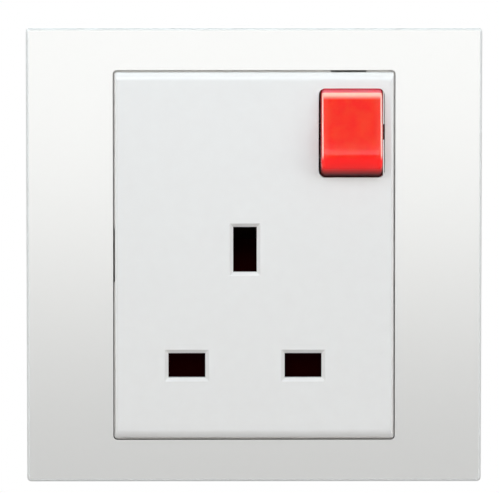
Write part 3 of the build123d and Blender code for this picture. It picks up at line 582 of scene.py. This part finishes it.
# %% Lead glass
def lead_glass():
    material, tree = new_material("lead_glass")[:2]
    surface = add_node(
        tree,
        "ShaderNodeBsdfPrincipled",
        {"Base Color": linear("f6efe6"), "Roughness": 0.03, "IOR": 1.5, "Transmission Weight": 0.9},
    )
    add_node(tree, "ShaderNodeOutputMaterial", {}, {"Surface": surface.outputs[0]})
    return material


dress(lead_glass(), "neon_lamp")

# %% [markdown]
# Two coil springs bring the shutter and the plunger back. A real one is drawn steel wire, wound
# on a mandrel with its end turns closed so that it stands square. The solid model holds each
# spring at one length, but a spring has to shorten as its joint moves. So each is wound again
# here, between the same two ends, as a mesh tube along a helix. A curve with a bevel would be
# quicker to write, but only a mesh can be flattened along its axis as the joint moves.

# %% Measure a spring and follow its wire
WIRE_MM = 0.3
CLOSED_TURNS = 2


def measured_spring(node, way):
    """The foot of the solid spring's axis, its length and its mean radius, in millimetres."""
    points = [vertex.co / MM for vertex in nodes[node].data.vertices]
    foot = min(point.dot(way) for point in points)
    length = max(point.dot(way) for point in points) - foot
    middle = sum(points, Vector()) / len(points)
    axis_foot = middle + way * (foot - middle.dot(way))
    radius = max((point - axis_foot).cross(way).length for point in points) - WIRE_MM / 2
    print(node, "length in mm:", round(length, 2), "mean radius:", round(radius, 2))
    return axis_foot, length, radius


def wire_rise(turn, turns, length):
    """How far the wire has climbed after this many turns: the first and last turn are closed."""
    if turn < 1:
        return turn * WIRE_MM
    if turn > turns - 1:
        return length - WIRE_MM - (turns - turn) * WIRE_MM
    open_pitch = (length - (CLOSED_TURNS + 1) * WIRE_MM) / (turns - CLOSED_TURNS)
    return WIRE_MM + (turn - 1) * open_pitch


print("a closed turn climbs", WIRE_MM, "mm")

# %% [markdown]
# The tube is made ring by ring. Each ring of vertices stands across the wire, and four-sided
# faces join it to the next one. A flat cap closes each cut end of the wire, so that the mesh has
# no open edge, and only the sides of the wire are shaded smooth.

# %% Wind the wire as a tube
WIRE_SIDES = 10
STEPS_A_TURN = 24


def wire_rings(tube, way, turns, axis_foot, length, radius):
    """Rings of vertices across the wire, one after another along the helix."""
    side = way.orthogonal().normalized()
    across = way.cross(side)
    rings = []
    for step in range(turns * STEPS_A_TURN + 1):
        turn = step / STEPS_A_TURN
        outward = side * cos(2 * pi * turn) + across * sin(2 * pi * turn)
        centre = axis_foot + outward * radius + way * (WIRE_MM / 2 + wire_rise(turn, turns, length))
        ring = []
        for corner in range(WIRE_SIDES):
            angle = 2 * pi * corner / WIRE_SIDES
            point = centre + (outward * cos(angle) + way * sin(angle)) * (WIRE_MM / 2)
            ring.append(tube.verts.new(point * MM))
        rings.append(ring)
    return rings


def skin_wire(tube, rings):
    """Faces between the rings, and a cap at each end."""
    for ring, following in zip(rings, rings[1:]):
        for corner in range(WIRE_SIDES):
            beside = (corner + 1) % WIRE_SIDES
            tube.faces.new((ring[corner], ring[beside], following[beside], following[corner]))
    tube.faces.new(rings[0][::-1])
    tube.faces.new(rings[-1])
    bmesh.ops.recalc_face_normals(tube, faces=tube.faces)
    for face in tube.faces:
        face.smooth = len(face.verts) == 4


print("faces round the wire in one turn:", STEPS_A_TURN * WIRE_SIDES)

# %% [markdown]
# Each spring rides on the body that holds its foot, and stands for the solid spring, which is
# hidden.

# %% Two springs on the bodies that hold their feet
spring_steel = rolled_metal("drawn_spring_steel", "8f9194", "a9abad", roughness=0.28)


def wound_spring(name, node, way, turns, body):
    """A spring wound between the two ends of the node's solid, riding on the body."""
    axis_foot, length, radius = measured_spring(node, way)
    tube = bmesh.new()
    skin_wire(tube, wire_rings(tube, way, turns, axis_foot, length, radius))
    mesh = bpy.data.meshes.new(name)
    tube.to_mesh(mesh)
    tube.free()
    mesh.materials.append(spring_steel)
    spring = bpy.data.objects.new(name, mesh)
    bpy.context.scene.collection.objects.link(spring)
    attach(spring, body)
    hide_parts(node)
    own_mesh(spring)


wound_spring(
    "shutter_return_spring",
    "shutter_spring",
    way=Vector((0, 0, 1)),
    turns=9,
    body="socket",
)
wound_spring(
    "plunger_press_spring",
    "plunger_spring",
    way=ROCKER_DEPTH_WAY,
    turns=6,
    body="rocker",
)

# %% [markdown]
# The picture was taken square on, from a little above, with a long lens. The camera stands a
# metre off and its target is set so that the plate falls where it does in the picture.

# %% Camera
CAMERA_DISTANCE = 1.0
CAMERA_ELEVATION = radians(4.71)
CAMERA_AZIMUTH = radians(-0.35)
TARGET = Vector((-0.876, -9.0, 1.718)) * MM
PICTURE_WIDTH = 95.35 * MM
camera_data = bpy.data.cameras.new("camera")
camera = bpy.data.objects.new("camera", camera_data)
bpy.context.scene.collection.objects.link(camera)
toward_camera = Vector(
    (
        sin(CAMERA_AZIMUTH) * cos(CAMERA_ELEVATION),
        -cos(CAMERA_AZIMUTH) * cos(CAMERA_ELEVATION),
        sin(CAMERA_ELEVATION),
    )
)
camera.location = TARGET + toward_camera * CAMERA_DISTANCE
camera.rotation_mode = "QUATERNION"
camera.rotation_quaternion = (-toward_camera).to_track_quat("-Z", "Y")
camera_data.sensor_width = 36.0
camera_data.lens = camera_data.sensor_width * CAMERA_DISTANCE / PICTURE_WIDTH
camera_data.clip_start = 0.01
camera_data.clip_end = 20.0
bpy.context.scene.camera = camera
print("lens in mm:", round(camera_data.lens, 1))

# %% [markdown]
# A soft studio. A wide, shallow key light hangs close above and in front, a touch cool, so the
# top of each surface catches more of it than the foot. A warmer fill stands at each side, and one
# stands behind for the views of the back. Softboxes are area lights: the larger and nearer they
# are, the softer the shadow's edge. The rocker would still throw a broad shadow on the insert, so
# a small fill in front lightens it. A grid keeps that one's beam narrow, off the floor, and
# glossy surfaces don't mirror it.

# %% A softbox
PLATE_CENTRE = Vector((0, 0, 0))


def softbox(name, place, size, watts, tone):
    """A rectangular area light that looks at the plate's centre, with its sizes in metres."""
    data = bpy.data.lights.new(name, "AREA")
    data.shape = "RECTANGLE"
    data.size = size[0]
    data.size_y = size[1]
    data.energy = watts
    data.color = linear(tone)[:3]
    light = bpy.data.objects.new(name, data)
    light.location = place
    light.rotation_mode = "QUATERNION"
    light.rotation_quaternion = (PLATE_CENTRE - Vector(place)).to_track_quat("-Z", "Y")
    bpy.context.scene.collection.objects.link(light)
    print(name, "gives", watts, "W")
    return light


print("softboxes look at", list(PLATE_CENTRE))

# %% Five lights
COOL = "e3f4ff"
WARM = "fffbf5"
PLAIN = "ffffff"
softbox("key", place=(0.0, -0.19, 0.2), size=(0.5, 0.1), watts=0.47, tone=COOL)
softbox("left_fill", place=(-0.55, -0.3, 0.16), size=(0.3, 0.3), watts=0.65, tone=WARM)
softbox("right_fill", place=(0.55, -0.3, 0.16), size=(0.3, 0.3), watts=0.65, tone=WARM)
front_fill = softbox("front_fill", place=(0.0, -0.75, 0.03), size=(0.2, 0.2), watts=0.033, tone=WARM)
front_fill.data.spread = radians(40.0)
front_fill.visible_glossy = False
softbox("back_fill", place=(0.0, 0.5, 0.25), size=(0.4, 0.4), watts=1.3, tone=PLAIN)

# %% [markdown]
# The room round the socket lights it softly, less from below than from above. It has to look
# plain white in the picture, but that much light would wash the socket out. So the rays that
# look at the room see white, and the rays that light the socket meet a dimmer room.

# %% Which rays look at the room
LOOKING_RAYS = ("Is Camera Ray", "Is Glossy Ray", "Is Transmission Ray")


def looks_at_room(tree):
    """One for rays that look at the room: the camera's own, reflected and transmitted ones."""
    path = add_node(tree, "ShaderNodeLightPath")
    return largest_of(tree, *(path.outputs[kind] for kind in LOOKING_RAYS))


print("white is seen by", len(LOOKING_RAYS), "kinds of ray")

# %% White room
LOW_ROOM = 0.1
HIGH_ROOM = 0.42
ROOM_FADE = 0.6
world = bpy.data.worlds.new("studio")
bpy.context.scene.world = world
world.use_nodes = True
sky = world.node_tree
sky.nodes.clear()
heading = add_node(sky, "ShaderNodeTexCoord")
height = add_node(sky, "ShaderNodeSeparateXYZ", {}, {0: heading.outputs["Generated"]})
room_light = add_node(
    sky,
    "ShaderNodeMapRange",
    {"From Min": -ROOM_FADE, "From Max": ROOM_FADE, "To Min": LOW_ROOM, "To Max": HIGH_ROOM},
    {"Value": height.outputs["Z"]},
)
room = add_node(
    sky, "ShaderNodeBackground", {"Color": (1, 1, 1, 1)}, {"Strength": room_light.outputs[0]}
)
white = add_node(sky, "ShaderNodeBackground", {"Color": (1, 1, 1, 1), "Strength": 1.0})
chosen = add_node(
    sky, "ShaderNodeMixShader", {}, {0: looks_at_room(sky), 1: room.outputs[0], 2: white.outputs[0]}
)
add_node(sky, "ShaderNodeOutputWorld", {}, {"Surface": chosen.outputs[0]})
print("room light from", LOW_ROOM, "below to", HIGH_ROOM, "above")

# %% [markdown]
# The floor is a plain pale sheet well below the plate, which hangs as it would on its wall. A
# square sheet would do, but the rim of a disc is equally far off all round, and the fade below
# ends before it.

# %% Floor
FLOOR_DROP = 0.12
FLOOR_RADIUS = 2.4
floor_mesh = bpy.data.meshes.new("floor")
disc = bmesh.new()
bmesh.ops.create_circle(disc, cap_ends=True, segments=96, radius=FLOOR_RADIUS)
disc.to_mesh(floor_mesh)
disc.free()
floor = bpy.data.objects.new("floor", floor_mesh)
floor.location = (0, 0, -FLOOR_DROP)
bpy.context.scene.collection.objects.link(floor)
print("floor radius in m:", FLOOR_RADIUS, "at height", -FLOOR_DROP)

# %% [markdown]
# Far from the plate the floor fades into the white room, so that no horizon crosses the picture.
# The fade works only for the rays that look at it. The light that falls on it and comes back
# meets plain matt paint, so it takes a shadow and adds no light of its own to the socket.

# %% How far the floor fades
FADE_FRONT = -1.95
FADE_BACK = 0.5
PAINTED = (-0.65, 0.15)
NEAR_WHITE = 0.3
FADE_SIDE_MM = (200.0, 900.0)


def floor_fade(tree, place):
    """The share of white: a little near the plate, and all of it far in front, behind and beside."""
    axes = add_node(tree, "ShaderNodeSeparateXYZ", {}, {0: place})
    front_to_back = add_node(
        tree,
        "ShaderNodeMapRange",
        {"From Min": FADE_FRONT / MM, "From Max": FADE_BACK / MM},
        {"Value": axes.outputs["Y"]},
    )
    fade = add_node(tree, "ShaderNodeValToRGB", {}, {"Fac": front_to_back.outputs[0]})
    fade.color_ramp.elements[0].color = (1, 1, 1, 1)
    fade.color_ramp.elements[1].color = (1, 1, 1, 1)
    for reached in PAINTED:
        stop = fade.color_ramp.elements.new((reached - FADE_FRONT) / (FADE_BACK - FADE_FRONT))
        stop.color = (NEAR_WHITE, NEAR_WHITE, NEAR_WHITE, 1)
    side_fade = share_along(tree, place, (1, 0, 0), FADE_SIDE_MM, both_sides=True)
    return largest_of(tree, fade.outputs[0], side_fade)


print("painted from", PAINTED[0], "to", PAINTED[1], "m, white from", FADE_FRONT, "and", FADE_BACK)

# %% Matt floor paint
def pale_floor_paint():
    material, tree, place = new_material("pale_floor")
    paint = add_node(
        tree, "ShaderNodeBsdfPrincipled", {"Base Color": linear("c8c8c8"), "Roughness": 0.9}
    )
    white_glow = add_node(tree, "ShaderNodeEmission", {"Strength": 1.0})
    seen_white = add_node(
        tree,
        "ShaderNodeMath",
        {"operation": "MULTIPLY"},
        {0: floor_fade(tree, place), 1: looks_at_room(tree)},
    )
    blend = add_node(
        tree,
        "ShaderNodeMixShader",
        {},
        {0: seen_white.outputs[0], 1: paint.outputs[0], 2: white_glow.outputs[0]},
    )
    add_node(tree, "ShaderNodeOutputMaterial", {}, {"Surface": blend.outputs[0]})
    return material


floor_mesh.materials.append(pale_floor_paint())
print("floor painted with", floor_mesh.materials[0].name)

# %% [markdown]
# The Standard view transform shows a colour as it was written, which suits a product picture.

# %% Plain view transform
bpy.context.scene.view_settings.view_transform = "Standard"
